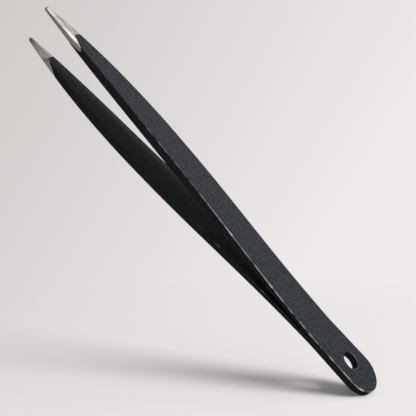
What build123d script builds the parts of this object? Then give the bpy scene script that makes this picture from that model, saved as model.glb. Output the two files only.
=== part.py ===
"""Pointed beauty tweezers: two sprung stainless arms, spot welded at the heel and coated.

The tweezers lie along X with the tips towards -X and the heel towards +X. Z is square to the
flat faces, with the upper arm above Z = 0 and the lower arm below it, and Y runs across the
width. The origin is the centre of the hanging hole. A station is the distance in mm from the
heel's end towards the tips, so the heel's end is station 0 and the tips are at LENGTH.
"""
from build123d import *
import os

# Overall plan, seen square to the flat faces.
LENGTH = 96.0
HEEL_RADIUS = 4.36
WIDTH_TAPER = 0.018
POINT_START = 60.0
POINT_DROP = 2.36
POINT_POWER = 1.85

# Thickness of one coated arm.
HEEL_THICKNESS = 0.80
GRIP_THICKNESS = 1.85
SWELL_START = 19.5
SWELL_END = 57.0
THINNING_START = 74.0
THINNING_DROP = 1.11
THINNING_POWER = 2.0

# How the arms spread away from the middle plane.
SPREAD_START = 14.4
SPREAD_SLOPE = 0.0547
INWARD_BEND = 67.0
TIP_SLOPE = 0.0245
BEND_SOFTNESS = 6.0

# The coat, and where it is ground off each tip. Far is +Y and near is -Y.
COAT = 0.12
BARE_FAR_TOP = 87.6
BARE_NEAR_TOP = 84.3
BARE_NEAR_INNER = 87.6

# The place where each arm bends, made as a round end in a hollow seat.
FLEX_STATION = 18.0
ROUND_END_RADIUS = 0.60
SEAT_CLEARANCE = 0.03

# The hanging hole and the spot welds ahead of it.
HOLE_STATION = 6.65
HOLE_RADIUS = 1.70
WELD_STATION = 10.4
WELD_OFFSET = 1.9
WELD_RADIUS = 0.8
WELD_DEPTH = 0.2

STATION_STEP = 6.0
BIG = 60.0


def x_at(station):
    """X of a station."""
    return HOLE_STATION - station


def ramp(distance, softness):
    """Zero, then a slope of one, with the corner rounded over softness each side."""
    if softness == 0 or abs(distance) >= softness:
        return max(distance, 0.0)
    return (distance + softness) ** 2 / (4 * softness)


def half_width(station):
    """Half the plan width: a straight taper, then a curved run down to the point."""
    run = max(0.0, (station - POINT_START) / (LENGTH - POINT_START))
    return HEEL_RADIUS - WIDTH_TAPER * (station - HEEL_RADIUS) - POINT_DROP * run ** POINT_POWER


def inner_face(station):
    """Height of the upper arm's inner face above the middle plane."""
    spread = SPREAD_SLOPE * ramp(station - SPREAD_START, 0)
    return spread - (SPREAD_SLOPE - TIP_SLOPE) * ramp(station - INWARD_BEND, BEND_SOFTNESS)


def thickness(station):
    """Thickness of one arm: thin at the heel, swelling to the grip, thinning to the tip."""
    swell = min(1.0, max(0.0, (station - SWELL_START) / (SWELL_END - SWELL_START)))
    thin = max(0.0, (station - THINNING_START) / (LENGTH - THINNING_START))
    grown = (GRIP_THICKNESS - HEEL_THICKNESS) * swell * swell * (3 - 2 * swell)
    return HEEL_THICKNESS + grown - THINNING_DROP * thin ** THINNING_POWER


def stations(first, last):
    """Evenly spaced stations from first to last, about STATION_STEP apart."""
    count = max(2, round((last - first) / STATION_STEP))
    return [first + (last - first) * i / count for i in range(count + 1)]


def side_slab(inset):
    """The upper arm's side view, made a slab far wider than the arm. Inset is off every face."""
    split = SPREAD_START - inset / SPREAD_SLOPE
    top = [Vector(x_at(s), 0, inner_face(s) + thickness(s) - inset)
           for s in stations(SWELL_START, LENGTH)]
    bottom = [Vector(x_at(s), 0, inner_face(s) + inset)
              for s in stations(INWARD_BEND - BEND_SOFTNESS, LENGTH)]
    heel_top = Vector(x_at(0) + 1, 0, HEEL_THICKNESS - inset)
    heel_bottom = Vector(x_at(0) + 1, 0, 0)
    spread_top = Vector(x_at(SPREAD_START), 0, HEEL_THICKNESS - inset)
    edges = [
        Line(heel_bottom, heel_top),
        Line(heel_top, spread_top),
        Line(spread_top, top[0]),
        Spline(*top),
        Line(top[-1], bottom[-1]),
        Spline(*bottom),
        Line(bottom[0], Vector(x_at(split), 0, 0)),
        Line(Vector(x_at(split), 0, 0), heel_bottom),
    ]
    return extrude(make_face(edges), amount=BIG, dir=(0, 1, 0), both=True)


def plan_slab(inset):
    """The plan outline, a round heel and two long edges running to the point, made a slab."""
    curved = [(x_at(s), half_width(s) - inset) for s in stations(POINT_START, LENGTH)]
    mirrored = [(x, -y) for x, y in curved]
    shoulder = (x_at(HEEL_RADIUS), HEEL_RADIUS - inset)
    opposite = (shoulder[0], -shoulder[1])
    edges = [
        ThreePointArc(opposite, (x_at(inset), 0), shoulder),
        Line(shoulder, curved[0]),
        Spline(*curved),
        Line(curved[-1], mirrored[-1]),
        Spline(*mirrored),
        Line(mirrored[0], opposite),
    ]
    return extrude(make_face(edges), amount=BIG, both=True)


def upper_form(inset, hole_radius):
    """One whole upper arm, from the heel's end to the tip, with its hanging hole."""
    hole = Pos(0, 0, 0) * Cylinder(hole_radius, BIG)
    return side_slab(inset) & plan_slab(inset) - hole


def flex_rod(radius):
    """A rod across the width on the upper arm's bending axis."""
    height = inner_face(FLEX_STATION) + thickness(FLEX_STATION) / 2
    return Pos(x_at(FLEX_STATION), 0, height) * Rot(90, 0, 0) * Cylinder(radius, BIG)


def ahead_of_flex(form):
    """The moving part of an arm, with its round rear end."""
    ahead = Pos(x_at(FLEX_STATION) - BIG, 0, 0) * Box(2 * BIG, BIG, BIG)
    return form & (ahead + flex_rod(ROUND_END_RADIUS))


def behind_flex(form):
    """The fixed part of an arm, with the hollow seat that the round end turns in."""
    behind = Pos(x_at(FLEX_STATION) + BIG, 0, 0) * Box(2 * BIG, BIG, BIG)
    return (form & behind) - flex_rod(ROUND_END_RADIUS + SEAT_CLEARANCE)


def grinding_plane():
    """The slanted plane where the coat stops, through three corners of the upper arm."""
    corners = [(BARE_FAR_TOP, 1, 1), (BARE_NEAR_TOP, -1, 1), (BARE_NEAR_INNER, -1, 0)]
    far_top, near_top, near_inner = [
        Vector(x_at(s), side * half_width(s), inner_face(s) + up * thickness(s))
        for s, side, up in corners
    ]
    across = far_top - near_top
    normal = across.cross(near_inner - near_top)
    if normal.X < 0:
        normal = -normal
    return Plane(origin=near_top, x_dir=across, z_dir=normal)


def spot_welds():
    """Two fused nuggets across the joint between the steel strips."""
    return [
        Pos(x_at(WELD_STATION), side * WELD_OFFSET, 0) * Cylinder(WELD_RADIUS, 2 * WELD_DEPTH)
        for side in (-1, 1)
    ]


def lower(form):
    """The lower arm's copy of an upper piece."""
    return mirror(form, about=Plane.XY)


def build_nodes():
    """Every node by name."""
    steel = upper_form(COAT, HOLE_RADIUS + COAT)
    coated = upper_form(0, HOLE_RADIUS)
    welds = spot_welds()

    blade = ahead_of_flex(steel)
    blade_coat = split(ahead_of_flex(coated) - steel, bisect_by=grinding_plane(), keep=Keep.TOP)
    whole_tang = behind_flex(steel)
    tang = whole_tang - welds
    heel = behind_flex(coated) + lower(behind_flex(coated))
    heel_coat = heel - whole_tang - lower(whole_tang)

    return {
        "upper_tang": tang,
        "lower_tang": lower(tang),
        "spot_welds": Compound(children=welds),
        "heel_coat": heel_coat,
        "upper_blade": blade,
        "lower_blade": lower(blade),
        "upper_coat": blade_coat,
        "lower_coat": lower(blade_coat),
    }


os.makedirs("parts", exist_ok=True)
for name, shape in build_nodes().items():
    export_step(shape, f"parts/{name}.step")
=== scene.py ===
"""Pointed beauty tweezers: ground steel strips in a fine textured charcoal coat, on a pale floor.

Shapes are worked out in millimetres and in stations. A station is the distance from the heel's
end towards the tips. The upper arm is worked out, and the lower arm is its mirror image.
"""
from math import cos, pi, radians, sin

import bmesh
import bpy
import numpy as np
from mathutils import Matrix, Vector


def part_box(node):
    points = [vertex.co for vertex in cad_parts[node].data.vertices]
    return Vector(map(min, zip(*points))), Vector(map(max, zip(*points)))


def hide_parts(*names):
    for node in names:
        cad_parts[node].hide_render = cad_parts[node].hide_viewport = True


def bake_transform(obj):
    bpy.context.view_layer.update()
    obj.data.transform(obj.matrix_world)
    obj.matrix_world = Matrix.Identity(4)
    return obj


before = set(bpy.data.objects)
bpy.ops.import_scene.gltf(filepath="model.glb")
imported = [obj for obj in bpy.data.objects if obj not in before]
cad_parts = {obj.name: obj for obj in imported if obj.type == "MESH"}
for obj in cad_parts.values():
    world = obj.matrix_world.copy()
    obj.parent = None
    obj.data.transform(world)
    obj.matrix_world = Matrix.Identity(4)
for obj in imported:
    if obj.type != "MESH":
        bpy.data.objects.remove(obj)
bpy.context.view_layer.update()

# --- Steel strips ------------------------------------------------------------------------
# Each arm is one stainless spring strip. It is blanked to its plan outline, rolled thin at
# the heel and thick at the grip, and its tip is ground to a point with flat facets.
MM = 0.001
heel_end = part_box("heel_coat")[1].x / MM
length = heel_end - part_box("upper_blade")[0].x / MM
coat_depth = 0.06
heel_radius = 4.36
side_taper = 0.018
point_start = 60.0
point_drop = 2.36
point_power = 1.85
heel_thickness = 0.80
grip_thickness = 1.85
swell_start = 19.5
grip_station = 57.0
thin_start = 74.0
tip_thinning = 1.11
contact_end = 14.4
arm_spread = 0.0547
bend_back = 0.0302
bend_station = 67.0
bend_softness = 6.0
hole_station = heel_end
hole_radius = 1.70
hole_low_edge = 0.03
strip_edge = 0.10
rim_edge = 0.14
ground_start = 83.6
blunt_length = 0.5
split_gap = 0.004
column_counts = (12, 6, 5)
rim_columns = 5
heel_rows = 56


def ramp(distance, softness):
    """Zero, then a slope of one; the corner is a parabola softness wide on each side."""
    rounded = (distance + softness) ** 2 / (4 * softness)
    return np.where(distance < -softness, 0, np.where(distance > softness, distance, rounded))


def half_width(station):
    """Half the plan width: a straight taper, less a power of the run down to the point."""
    run = np.clip((station - point_start) / (length - point_start), 0, 1)
    return heel_radius - side_taper * (station - heel_radius) - point_drop * run ** point_power


def inner_face(station, inset):
    """Height of the inner face: a straight spread, bent inwards by a softened ramp."""
    apart = arm_spread * np.maximum(station - contact_end + inset / arm_spread, 0)
    return np.maximum(apart - bend_back * ramp(station - bend_station, bend_softness), split_gap)


def thickness(station):
    """Arm thickness: a smoothstep from heel to grip, less a square run to the tip."""
    swell = np.clip((station - swell_start) / (grip_station - swell_start), 0, 1)
    thin = np.clip((station - thin_start) / (length - thin_start), 0, 1)
    grown = (grip_thickness - heel_thickness) * swell ** 2 * (3 - 2 * swell)
    return heel_thickness + grown - tip_thinning * thin ** 2


def blunt(station):
    """Shrinks the section over the last half millimetre, to a small rounded blunt end."""
    run = np.clip((station - length + blunt_length) / blunt_length, 0, 1)
    return np.sqrt(1 - 0.7 * run ** 2)


def section_columns(flat, bend, wall):
    """Shares that place each column of an arm's half section, from the middle of the outer
    face round the edge to the middle of the inner face: how far out along the face, how much
    of each edge radius it lies in from the outline and down from its face, and its share of
    the wall's height.
    """
    out = np.r_[np.linspace(0, 0.9, flat), 0.975]
    turn = np.linspace(0, pi / 2, bend)
    side = np.linspace(0, 1, wall + 2)[1:-1]
    faces, turns, sides = len(out), len(turn), len(side)
    zero_face, zero_turn = np.zeros(faces), np.zeros(turns)
    along = np.r_[out, np.ones(2 * turns + sides), out[::-1]]
    in_outer = np.r_[zero_face + 1, 1 - np.sin(turn), np.zeros(sides), zero_turn, zero_face]
    in_inner = np.r_[zero_face, zero_turn, np.zeros(sides), 1 - np.cos(turn), zero_face + 1]
    down = np.r_[zero_face, 1 - np.cos(turn), np.ones(sides), zero_turn, zero_face]
    up = np.r_[zero_face, zero_turn, np.ones(sides), 1 - np.sin(turn), zero_face]
    share = np.r_[zero_face, zero_turn, side, zero_turn + 1, zero_face + 1]
    return along, in_outer, in_inner, down, up, share


def edge_columns(flat, bend, wall):
    """1 on the columns that turn the outer edge, 0.5 on the inner edge's, and 0 elsewhere."""
    hump = np.sin(np.linspace(0, pi, bend)) ** 2
    faces = np.zeros(flat + 1)
    return np.r_[faces, hump, np.zeros(wall), 0.5 * hump, faces]


def heel_outline(inset, rows):
    """The outline from beside the hole round the heel's end, with its outward normals: a
    straight run, then a quarter circle, evenly spaced along the path.
    """
    front = hole_station + hole_radius + inset + rim_edge
    straight = front - heel_radius
    path = np.linspace(0, straight + heel_radius * pi / 2, rows)
    angle = np.clip(path - straight, 0, None) / heel_radius
    station = np.where(path < straight, front - path, heel_radius * (1 - np.sin(angle)))
    beside = np.where(path < straight, half_width(station), heel_radius * np.cos(angle))
    normal = np.stack([-np.sin(angle), np.cos(angle)], axis=1)
    return np.stack([station, beside], axis=1) - inset * normal, normal


def half_arm(inset, front_line, radii, side, crown, bevel, body_rows):
    """Grids of points for one long half of the upper arm: the body from the front line to
    the hole, the heel round the hole, and the hole's wall. Each point is a share of the way
    from the inner boundary (centre line or hole) to the outline, at its face's height. Crown
    is added to the outer face's height, and bevel to the inner face's.
    """
    along, in_outer, in_inner, down, up, share = section_columns(*column_counts)
    ring = hole_radius + inset + rim_edge
    front = front_line(along, share, side)
    reach = np.linspace(0, 1, body_rows)[:, None]
    station = front + (hole_station + ring - front) * reach ** 1.25
    slope = (half_width(station + 0.01) - half_width(station - 0.01)) / 0.02
    tilt = np.stack([-slope, np.ones_like(slope)], axis=2) / np.hypot(slope, 1)[..., None]
    outline = np.stack([station, half_width(station)], axis=2) - inset * tilt
    centre = np.stack([station, np.zeros_like(station)], axis=2)

    around, heel_normal = heel_outline(inset, heel_rows)
    psi = np.linspace(0, pi, heel_rows)
    circle = np.stack([hole_station + ring * np.cos(psi), ring * np.sin(psi)], axis=1)
    stack = (heel_rows, len(along), 2)
    outline = np.concatenate([outline, np.broadcast_to(around[:, None], stack)[1:]])
    tilt = np.concatenate([tilt, np.broadcast_to(heel_normal[:, None], stack)[1:]])
    centre = np.concatenate([centre, np.broadcast_to(circle[:, None], stack)[1:]])

    nose = blunt(outline[..., 0])
    outline[..., 1] *= nose
    outer_radius, inner_radius = radii(outline[..., 0])
    edge = outline - tilt * (in_outer * outer_radius + in_inner * inner_radius)[..., None]
    plan = centre + (edge - centre) * along[:, None]
    across = np.abs(plan[..., 1]) / np.maximum(half_width(plan[..., 0]) - inset, 0.05)
    top = inner_face(plan[..., 0], 0) + thickness(plan[..., 0]) - inset - split_gap
    top = top + crown(plan[..., 0], across * side) - down * outer_radius
    bottom = inner_face(plan[..., 0], inset) + up * inner_radius
    bottom = bottom + bevel(plan[..., 0], across * side)
    middle = 0.45 * top + 0.55 * bottom
    top, bottom = middle + (top - middle) * nose, middle + (bottom - middle) * nose
    height = top + (bottom - top) * share
    body = np.stack([plan[..., 0], side * plan[..., 1], height], axis=2)

    turn = np.linspace(0, pi / 2, rim_columns)
    low = hole_low_edge
    radius = np.r_[rim_edge * (1 - np.sin(turn)), 0, 0, low * (1 - np.cos(turn)), rim_edge]
    level = np.r_[rim_edge * (1 - np.cos(turn)), rim_edge, low, low * (1 - np.sin(turn)), 0]
    below = np.r_[np.zeros(rim_columns), 0.33, 0.67, np.ones(rim_columns + 1)]
    reach = hole_radius + inset + radius
    wall_s = hole_station + np.cos(psi)[:, None] * reach
    wall_y = side * np.sin(psi)[:, None] * reach
    wall_top = heel_thickness - inset - level
    wall = np.stack([wall_s, wall_y, wall_top + 0 * wall_s], axis=2)
    wall[..., 2] = (1 - below) * wall_top + below * (split_gap + level)
    return body, wall


def grid_faces(rows, columns, first):
    """Quads of a grid whose points are numbered row by row from first."""
    corner = (np.arange(rows - 1)[:, None] * columns + np.arange(columns - 1)).ravel() + first
    return np.stack([corner, corner + 1, corner + columns + 1, corner + columns], axis=1)


def arm_mesh(name, grids, edge_marks, mirrored, keep, caps=()):
    """Joins grids of (station, across, height) into one mesh. Points at the same place become
    one point, faces that collapse are dropped, and keep says which faces to make. The marks
    become the point attribute edge.
    """
    points = np.concatenate([grid.reshape(-1, 3) for grid in grids])
    marks = np.concatenate([mark.ravel() for mark in edge_marks])
    counts = np.cumsum([0] + [len(grid) * grid.shape[1] for grid in grids])
    faces = np.concatenate([grid_faces(*grid.shape[:2], first)
                            for grid, first in zip(grids, counts)])
    faces = faces[keep(points[faces].mean(axis=1))]
    sign = -1 if mirrored else 1
    place = np.stack([hole_station - points[:, 0], points[:, 1], sign * points[:, 2]], axis=1)
    _, first_seen, number = np.unique(np.round(place, 4), axis=0, return_index=True,
                                      return_inverse=True)
    number = number.ravel()
    faces = number[faces]
    wanted = [list(dict.fromkeys(face)) for face in faces.tolist()]
    wanted = [face for face in wanted if len(face) > 2]
    wanted += [list(dict.fromkeys(number[cap].tolist())) for cap in caps]
    mesh = bpy.data.meshes.new(name)
    mesh.from_pydata(place[first_seen] * MM, [], wanted)
    mesh.attributes.new("edge", "FLOAT", "POINT").data.foreach_set(
        "value", marks[first_seen].astype(np.float32))
    turn_outwards(mesh)
    mesh.shade_smooth()
    obj = bpy.data.objects.new(name, mesh)
    bpy.context.scene.collection.objects.link(obj)
    return obj


def turn_outwards(mesh):
    """Makes every face of the mesh point out."""
    work = bmesh.new()
    work.from_mesh(mesh)
    bmesh.ops.recalc_face_normals(work, faces=work.faces)
    work.to_mesh(mesh)
    work.free()


def strip_front(along, share, side):
    """The steel runs right to the tip's end."""
    return np.full_like(along, length)


def strip_radii(station):
    """Broken corners along the strip, crisp on the ground tip."""
    ground = np.clip((station - ground_start) / 4.0, 0, 1)
    room = 0.35 * (np.minimum(half_width(station), thickness(station)) - 2 * coat_depth)
    outer = strip_edge - 0.06 * ground
    inner = strip_edge - 0.07 * ground
    return np.minimum(outer, room), np.minimum(inner, room)


def tip_crown(station, across):
    """The ground top of the tip: it falls gently from the far edge to a ridge, then steeply
    to the near edge. The ridge starts half way out and nears the middle at the tip's end.
    """
    ground = np.clip((station - ground_start) / 2.5, 0, 1)
    ridge = -0.50 + 0.30 * np.clip((station - 87.0) / 5.0, 0, 1)
    drop = 0.22 * ground * np.clip((length + 1.5 - station) / 6.0, 0, 1)
    gentle = ground * (0.09 * (across - ridge) / (1.0 - ridge) - 0.04)
    steep = drop * (across - ridge) / (1.0 + ridge) - 0.04 * ground
    return np.where(across < ridge, steep, gentle)


def flat_face(station, across):
    """A face with no facets."""
    return np.zeros_like(station)


def slant_facet(station, across):
    """The lower tip's slanted facet: it runs from a ridge on the inner face down to the near
    outer edge, and leaves almost none of the near wall.
    """
    ground = np.clip((station - 89.3) / 1.6, 0, 1)
    depth = thickness(station) - 2 * coat_depth - 0.16
    return ground * depth * np.clip((0.22 - across) / 1.22, 0, 1)


def buffed_and_lit_marks(side, across, flat, bend, wall):
    """1 on the outer face and on the far part of the inner face: buffed steel, and also painted
    light on these faces, which face the light.
    """
    column = np.arange(2 * (flat + 1 + bend) + wall)
    inner = (column >= flat + 1 + bend + wall) * np.clip((side * across - 0.2) / 0.06, 0, 1)
    return (column < flat + 1 + bend) + inner


def strip(name, mirrored):
    """One closed steel strip with its hole, ground tip and blunt end. Its edge attribute marks
    where the tip has been buffed, and also paints light: the paler buffed colour goes on the
    faces that catch the light, and the duller colour shades the walls and the blunt end.
    """
    outer_ground = flat_face if mirrored else tip_crown
    inner_ground = slant_facet if mirrored else flat_face
    grids, marks = [], []
    for side in (-1, 1):
        body, wall = half_arm(coat_depth, strip_front, strip_radii, side, outer_ground,
                              inner_ground, 210)
        grids += [body, wall]
        across = np.abs(body[..., 1]) / half_width(body[..., 0])
        # The last quarter millimetre of the tip takes the dull colour: painted shade on the blunt
        # end.
        shaded_end = np.clip((length - 0.25 - body[..., 0]) / 0.15, 0, 1)
        buffed_and_lit = buffed_and_lit_marks(side, across, *column_counts)
        marks += [buffed_and_lit * shaded_end, np.zeros(wall.shape[:2])]
    columns = grids[0].shape[1]
    other = grids[0].shape[0] * columns + grids[1].shape[0] * grids[1].shape[1]
    cap = np.r_[np.arange(columns), other + np.arange(columns)[::-1]]
    obj = arm_mesh(name, grids, marks, mirrored, lambda at: np.full(len(at), True), [cap])
    obj.data.set_sharp_from_angle(angle=radians(24))
    return obj


upper_strip = strip("upper_strip", False)
lower_strip = strip("lower_strip", True)


def new_material(name):
    """An empty node material with its Principled shader and Object coordinates."""
    made = bpy.data.materials.new(name)
    made.use_nodes = True
    nodes = made.node_tree.nodes
    shader = nodes["Principled BSDF"]
    place = nodes.new("ShaderNodeTexCoord")
    return made, nodes, made.node_tree.links, shader, place.outputs["Object"]


def speckle_group():
    """A node group: fine noise and broad noise over Object coordinates, given in grains per
    metre. Its outputs are the fine grain, the broad mottle and their mix as a height.
    """
    group = bpy.data.node_groups.new("speckle", "ShaderNodeTree")
    inside = group.interface
    inside.new_socket("Place", in_out="INPUT", socket_type="NodeSocketVector")
    inside.new_socket("Fine Scale", in_out="INPUT", socket_type="NodeSocketFloat")
    inside.new_socket("Broad Scale", in_out="INPUT", socket_type="NodeSocketFloat")
    for out in ("Grain", "Mottle", "Height"):
        inside.new_socket(out, in_out="OUTPUT", socket_type="NodeSocketFloat")
    nodes, links = group.nodes, group.links
    given = nodes.new("NodeGroupInput")
    result = nodes.new("NodeGroupOutput")
    fine = nodes.new("ShaderNodeTexNoise")
    fine.inputs["Detail"].default_value = 2.0
    broad = nodes.new("ShaderNodeTexNoise")
    broad.inputs["Detail"].default_value = 3.0
    links.new(given.outputs["Place"], fine.inputs["Vector"])
    links.new(given.outputs["Place"], broad.inputs["Vector"])
    links.new(given.outputs["Fine Scale"], fine.inputs["Scale"])
    links.new(given.outputs["Broad Scale"], broad.inputs["Scale"])
    both = nodes.new("ShaderNodeMath")
    both.operation = "MULTIPLY_ADD"
    both.inputs[1].default_value = 0.35
    links.new(broad.outputs["Fac"], both.inputs[0])
    links.new(fine.outputs["Fac"], both.inputs[2])
    links.new(fine.outputs["Fac"], result.inputs["Grain"])
    links.new(broad.outputs["Fac"], result.inputs["Mottle"])
    links.new(both.outputs[0], result.inputs["Height"])
    return group


speckle = speckle_group()


def add_speckle(nodes, links, place, fine, broad):
    """Puts the speckle group in a material at the given scales."""
    node = nodes.new("ShaderNodeGroup")
    node.node_tree = speckle
    node.inputs["Fine Scale"].default_value = fine
    node.inputs["Broad Scale"].default_value = broad
    links.new(place, node.inputs["Place"])
    return node


def spread(nodes, links, value, low, high, to_low, to_high):
    """Maps a value from low..high to to_low..to_high, held at both ends."""
    node = nodes.new("ShaderNodeMapRange")
    for socket, number in zip(("From Min", "From Max", "To Min", "To Max"),
                              (low, high, to_low, to_high)):
        node.inputs[socket].default_value = number
    links.new(value, node.inputs["Value"])
    return node.outputs["Result"]


def colour_mix(nodes, links, share, first, second):
    """A colour between first and second, each a colour or a socket, by share."""
    node = nodes.new("ShaderNodeMix")
    node.data_type = "RGBA"
    links.new(share, node.inputs["Factor"])
    for socket, colour in ((node.inputs[6], first), (node.inputs[7], second)):
        if isinstance(colour, tuple):
            socket.default_value = (*colour, 1)
        else:
            links.new(colour, socket)
    return node.outputs[2]


def ground_steel():
    """Bare stainless steel off the grinding wheel: grey, a little warm, with scratches along
    the tip and blotches where the wheel has polished it.
    """
    made, nodes, links, shader, place = new_material("ground_steel")
    shader.inputs["Metallic"].default_value = 1.0
    stretch = nodes.new("ShaderNodeMapping")
    stretch.inputs["Scale"].default_value = (0.25, 1.0, 1.0)
    links.new(place, stretch.inputs["Vector"])
    marks = add_speckle(nodes, links, stretch.outputs["Vector"], 9000, 1500)
    tone = spread(nodes, links, marks.outputs["Mottle"], 0.38, 0.62, 0.0, 1.0)
    buffed_lit_steel = colour_mix(nodes, links, tone, (0.60, 0.585, 0.57), (0.96, 0.95, 0.94))
    dull_shaded_steel = colour_mix(nodes, links, tone, (0.44, 0.40, 0.365), (0.55, 0.51, 0.475))
    # The edge attribute picks the paler buffed colour. This is partly real polish and partly
    # painted light on the faces that catch it. The duller brown is painted shade on the walls and
    # the blunt end.
    buffed_and_lit = nodes.new("ShaderNodeAttribute")
    buffed_and_lit.attribute_name = "edge"
    colour = colour_mix(nodes, links, buffed_and_lit.outputs["Fac"], dull_shaded_steel, buffed_lit_steel)
    links.new(colour, shader.inputs["Base Color"])
    rough = nodes.new("ShaderNodeMath")
    rough.operation = "MULTIPLY_ADD"
    rough.inputs[1].default_value = -0.20
    links.new(buffed_and_lit.outputs["Fac"], rough.inputs[0])
    links.new(spread(nodes, links, marks.outputs["Grain"], 0.3, 0.7, 0.36, 0.50),
              rough.inputs[2])
    links.new(rough.outputs[0], shader.inputs["Roughness"])
    bump = nodes.new("ShaderNodeBump")
    bump.inputs["Strength"].default_value = 0.35
    bump.inputs["Distance"].default_value = 0.00002
    links.new(marks.outputs["Height"], bump.inputs["Height"])
    links.new(bump.outputs["Normal"], shader.inputs["Normal"])
    return made


steel = ground_steel()
for obj, arm, nodes_of in ((upper_strip, "upper_arm", ("upper_tang", "upper_blade")),
                           (lower_strip, "lower_arm", ("lower_tang", "lower_blade"))):
    obj.data.materials.append(steel)
    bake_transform(obj)
    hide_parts(*nodes_of)

# --- Spot welds --------------------------------------------------------------------------
# Two fused nuggets inside the heel, where a pair of copper electrodes pressed the strips
# together. They are hidden between the strips, so the CAD nuggets stay as they are.
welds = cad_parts["spot_welds"]
welds.data.materials.clear()
welds.data.materials.append(steel)

# --- Coat --------------------------------------------------------------------------------
# A baked charcoal coat with a fine sandy texture, over the welded pair of strips. It is
# rounded over every edge and ground off with the steel at the tips. Its edges are paler:
# chips and rubbed wear, and a painted highlight along the edges and the hole's rim.
coat_edge = 0.22
seam_edge = 0.07
coat_skin = 0.05
nick_stations = (2.4, 26.8, 38.6)
nick_reach = 0.3


def coat_front(along, share, side):
    """Where the upper arm's coat stops. It runs square across the far half. On the near half
    it slants back to the edge and bows back down the wall.
    """
    slant = np.clip((along - 0.15) / 0.85, 0, 1) ** 1.25
    bow = 83.85 + 0.45 * np.clip(1 - share / 0.35, 0, 1) ** 2
    bow = bow + 3.15 * np.clip((share - 0.45) / 0.55, 0, 1) ** 1.7
    if side > 0:
        outer, wall, inner = 87.6 + 0 * along, 87.6 + 2.4 * share, 90.0 + 0 * along
    else:
        outer, wall, inner = 87.6 - 3.3 * slant, bow, 90.0 - 3.0 * slant
    return np.where(share <= 0, outer, np.where(share >= 1, inner, wall))


def lower_coat_front(along, share, side):
    """Where the lower arm's coat stops: the same, but one slant crosses the near wall."""
    slant = np.clip((along - 0.3) / 0.7, 0, 1) ** 1.4
    wall = 86.0 + 2.7 * share
    if side > 0:
        return coat_front(along, share, side)
    outer, inner = 87.6 - 1.6 * slant, 90.0 - 1.3 * slant
    return np.where(share <= 0, outer, np.where(share >= 1, inner, wall))


def coat_radii(station):
    """The coat's outer edge is full. Its inner edge is tight, and nearly closes the seam
    where the strips touch.
    """
    return np.full_like(station, coat_edge), 0.03 + seam_edge * np.clip(station / 3 - 4, 0, 1)


def coating(name, front_line, mirrored):
    """The coat of one arm, a shell that is open where the strips touch."""
    # The hole's rounded rim gets the pale edge colour: a painted highlight.
    painted_rim_highlight = 0.4 * np.r_[np.sin(np.linspace(0, pi, rim_columns)), np.zeros(rim_columns + 3)]
    grids, marks = [], []
    for side in (-1, 1):
        body, wall = half_arm(0.0, front_line, coat_radii, side, flat_face, flat_face, 230)
        grids += [body, wall]
        # Pale edge band: partly rubbed wear and partly a painted highlight. It is stronger on the
        # near outer edge and fades towards the tips. The nicks near the heel are real chips in the
        # coat.
        wear_and_highlight = edge_columns(*column_counts) * (0.8 if side < 0 else 0.45)
        wear_and_highlight = wear_and_highlight * np.clip((78.0 - body[..., 0]) / 36.0, 0.10, 1)
        nicks = sum(np.exp(-((body[..., 0] - at) / nick_reach) ** 2) for at in nick_stations)
        wear_and_highlight = wear_and_highlight + (2.5 if side < 0 else 0) * nicks * (wear_and_highlight > 0.1)
        marks += [wear_and_highlight, np.broadcast_to(painted_rim_highlight, wall.shape[:2])]

    def keep(at):
        return (at[:, 0] > contact_end) | (at[:, 2] > 0.035)

    obj = arm_mesh(name, grids, marks, mirrored, keep)
    skin = obj.modifiers.new("coat_thickness", "SOLIDIFY")
    skin.thickness = coat_skin * MM
    skin.offset = -1
    return obj


def charcoal_coat():
    """Charcoal coat: nearly black, finely speckled, dull, paler on its edges from rubbed wear and a
    painted highlight.
    """
    made, nodes, links, shader, place = new_material("charcoal_coat")
    grains = add_speckle(nodes, links, place, 3400, 700)
    tone = spread(nodes, links, grains.outputs["Grain"], 0.32, 0.68, 0.0, 1.0)
    colour = colour_mix(nodes, links, tone, (0.0058, 0.0072, 0.0098), (0.0345, 0.038, 0.045))
    edge = nodes.new("ShaderNodeAttribute")
    edge.attribute_name = "edge"
    patchy = nodes.new("ShaderNodeMath")
    patchy.operation = "MULTIPLY"
    links.new(edge.outputs["Fac"], patchy.inputs[0])
    links.new(spread(nodes, links, grains.outputs["Mottle"], 0.38, 0.62, 0.25, 1.0),
              patchy.inputs[1])
    # The pale edge colour is rubbed wear together with a painted highlight along the edges and the
    # hole's rim.
    wear_and_highlight = spread(nodes, links, patchy.outputs[0], 0.12, 0.75, 0.0, 1.0)
    colour = colour_mix(nodes, links, wear_and_highlight, colour, (0.42, 0.43, 0.45))
    links.new(colour, shader.inputs["Base Color"])
    shader.inputs["Specular IOR Level"].default_value = 0.12
    rough = nodes.new("ShaderNodeMath")
    rough.operation = "MULTIPLY_ADD"
    rough.inputs[1].default_value = -0.22
    links.new(wear_and_highlight, rough.inputs[0])
    links.new(spread(nodes, links, grains.outputs["Grain"], 0.3, 0.7, 0.48, 0.62),
              rough.inputs[2])
    links.new(rough.outputs[0], shader.inputs["Roughness"])
    bump = nodes.new("ShaderNodeBump")
    bump.inputs["Strength"].default_value = 0.5
    bump.inputs["Distance"].default_value = 0.00003
    links.new(grains.outputs["Height"], bump.inputs["Height"])
    links.new(bump.outputs["Normal"], shader.inputs["Normal"])
    return made


charcoal = charcoal_coat()
upper_coating = coating("upper_coating", coat_front, False)
lower_coating = coating("lower_coating", lower_coat_front, True)
for obj, arm, node in ((upper_coating, "upper_arm", "upper_coat"),
                       (lower_coating, "lower_arm", "lower_coat")):
    obj.data.materials.append(charcoal)
    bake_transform(obj)
    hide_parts(node, "heel_coat")

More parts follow.
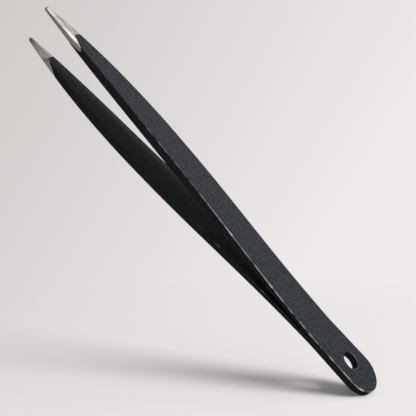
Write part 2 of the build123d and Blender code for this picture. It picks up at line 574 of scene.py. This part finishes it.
# --- Floor -------------------------------------------------------------------------------
# A pale matt sheet. The tweezers stand on the heel's end with the tips raised, so the sheet
# is tilted against their own axes. It shows from above only, and fades into the backdrop.
floor_normal = Vector((-0.730, 0.301, 0.613)).normalized()
floor_reach = 0.16
corners = np.array([v.co for v in upper_coating.data.vertices]
                   + [v.co for v in lower_coating.data.vertices])
contact = Vector(corners[(corners @ np.array(floor_normal)).argmin()])
long_way = Vector((0, 1, 0)).cross(floor_normal).normalized()
side_way = floor_normal.cross(long_way)
floor_mesh = bpy.data.meshes.new("floor")
floor_mesh.from_pydata(
    [contact + (long_way * a + side_way * b) * floor_reach
     for a, b in ((-1, -1), (1, -1), (1, 1), (-1, 1))], [], [(0, 1, 2, 3)])
floor = bpy.data.objects.new("floor", floor_mesh)
bpy.context.scene.collection.objects.link(floor)
paper, nodes, links, shader, place = new_material("pale_floor")
shader.inputs["Base Color"].default_value = (0.78, 0.75, 0.75, 1)
shader.inputs["Emission Color"].default_value = (0.98, 0.95, 0.95, 1)
shader.inputs["Emission Strength"].default_value = 0.09
shader.inputs["Roughness"].default_value = 0.9
shader.inputs["Specular IOR Level"].default_value = 0.0
away = nodes.new("ShaderNodeVectorMath")
away.operation = "DISTANCE"
away.inputs[1].default_value = contact
links.new(place, away.inputs[0])
faded = spread(nodes, links, away.outputs["Value"], 0.02, 0.14, 0.0, 1.0)
backs = nodes.new("ShaderNodeNewGeometry")
hidden = nodes.new("ShaderNodeMath")
hidden.operation = "MAXIMUM"
links.new(backs.outputs["Backfacing"], hidden.inputs[0])
links.new(faded, hidden.inputs[1])
clear = nodes.new("ShaderNodeBsdfTransparent")
either = nodes.new("ShaderNodeMixShader")
links.new(hidden.outputs[0], either.inputs["Fac"])
links.new(shader.outputs["BSDF"], either.inputs[1])
links.new(clear.outputs["BSDF"], either.inputs[2])
links.new(either.outputs["Shader"], nodes["Material Output"].inputs["Surface"])
floor.data.materials.append(paper)
floor.visible_diffuse = False
floor.visible_glossy = False
floor.visible_shadow = False

# --- Camera ------------------------------------------------------------------------------
# A 52 mm lens close above the near side, rolled so that the tips point up and to the left.
camera_data = bpy.data.cameras.new("camera")
camera_data.lens = 52.0
camera = bpy.data.objects.new("camera", camera_data)
bpy.context.scene.collection.objects.link(camera)
aim = Vector((-38.85, 0.0, 0.19)) * MM
azimuth, elevation, roll = radians(6.75), radians(34.92), radians(43.64)
distance = 115.2 * MM
back = Vector((sin(azimuth) * cos(elevation), -cos(azimuth) * cos(elevation), sin(elevation)))
level = Vector((0, 0, 1)).cross(back).normalized()
upright = back.cross(level)
right = level * cos(roll) + upright * sin(roll)
over = back.cross(right)
turned = Matrix((right, over, back)).transposed()
camera.matrix_world = Matrix.Translation(aim + back * distance) @ turned.to_4x4()
camera_data.clip_start = 0.005
bpy.context.scene.camera = camera

# --- Light -------------------------------------------------------------------------------
# One softbox above the flat faces, in a white room that is bright overhead and dim elsewhere,
# with a pale card low in front and a bright patch straight behind that shows only in
# reflections. The camera sees a plain pale backdrop, darker to the left.
key_data = bpy.data.lights.new("softbox", "AREA")
key_data.shape = "DISK"
key_data.size = 0.50
key_data.energy = 13.2
key = bpy.data.objects.new("softbox", key_data)
bpy.context.scene.collection.objects.link(key)
key_way = Vector((0.30, 0.17, 0.93)).normalized()
key_at = Vector((-0.040, 0, 0)) + key_way * 1.0
key.matrix_world = Matrix.Translation(key_at) @ key_way.to_track_quat("Z", "Y").to_matrix().to_4x4()
key.visible_glossy = False

world = bpy.data.worlds.new("room")
world.use_nodes = True
bpy.context.scene.world = world
nodes, links = world.node_tree.nodes, world.node_tree.links
nodes.clear()
sky = nodes.new("ShaderNodeTexCoord")


def toward(way):
    """How far the ray runs along a direction, from -1 to 1."""
    node = nodes.new("ShaderNodeVectorMath")
    node.operation = "DOT_PRODUCT"
    node.inputs[1].default_value = way
    links.new(sky.outputs["Generated"], node.inputs[0])
    return node.outputs["Value"]


shown = nodes.new("ShaderNodeBackground")
pale = colour_mix(nodes, links, spread(nodes, links, toward(right * 0.85 - over * 0.5), -0.50,
                                       0.20, 0.0, 1.0), (0.60, 0.57, 0.555), (0.87, 0.825, 0.83))
links.new(pale, shown.inputs["Color"])
room = nodes.new("ShaderNodeBackground")
room.inputs["Color"].default_value = (1.0, 0.99, 0.97, 1)
overhead = Vector((-0.25, 0.20, 0.95)).normalized()
below = Vector((-0.10, -0.81, -0.57)).normalized()
behind = Vector((-0.10, 0.98, 0.12)).normalized()
rays = nodes.new("ShaderNodeLightPath")
lit = nodes.new("ShaderNodeMath")
lit.operation = "ADD"
links.new(spread(nodes, links, toward(overhead), 0.62, 0.95, 0.10, 1.05), lit.inputs[0])
links.new(spread(nodes, links, toward(below), 0.75, 1.0, 0.0, 0.66), lit.inputs[1])
mirrored = nodes.new("ShaderNodeMath")
mirrored.operation = "MULTIPLY_ADD"
links.new(spread(nodes, links, toward(behind), 0.91, 0.98, 0.0, 1.5), mirrored.inputs[0])
links.new(rays.outputs["Is Glossy Ray"], mirrored.inputs[1])
links.new(lit.outputs[0], mirrored.inputs[2])
links.new(mirrored.outputs[0], room.inputs["Strength"])
either = nodes.new("ShaderNodeMixShader")
out = nodes.new("ShaderNodeOutputWorld")
links.new(rays.outputs["Is Camera Ray"], either.inputs["Fac"])
links.new(room.outputs["Background"], either.inputs[1])
links.new(shown.outputs["Background"], either.inputs[2])
links.new(either.outputs["Shader"], out.inputs["Surface"])
bpy.context.scene.view_settings.view_transform = "Standard"
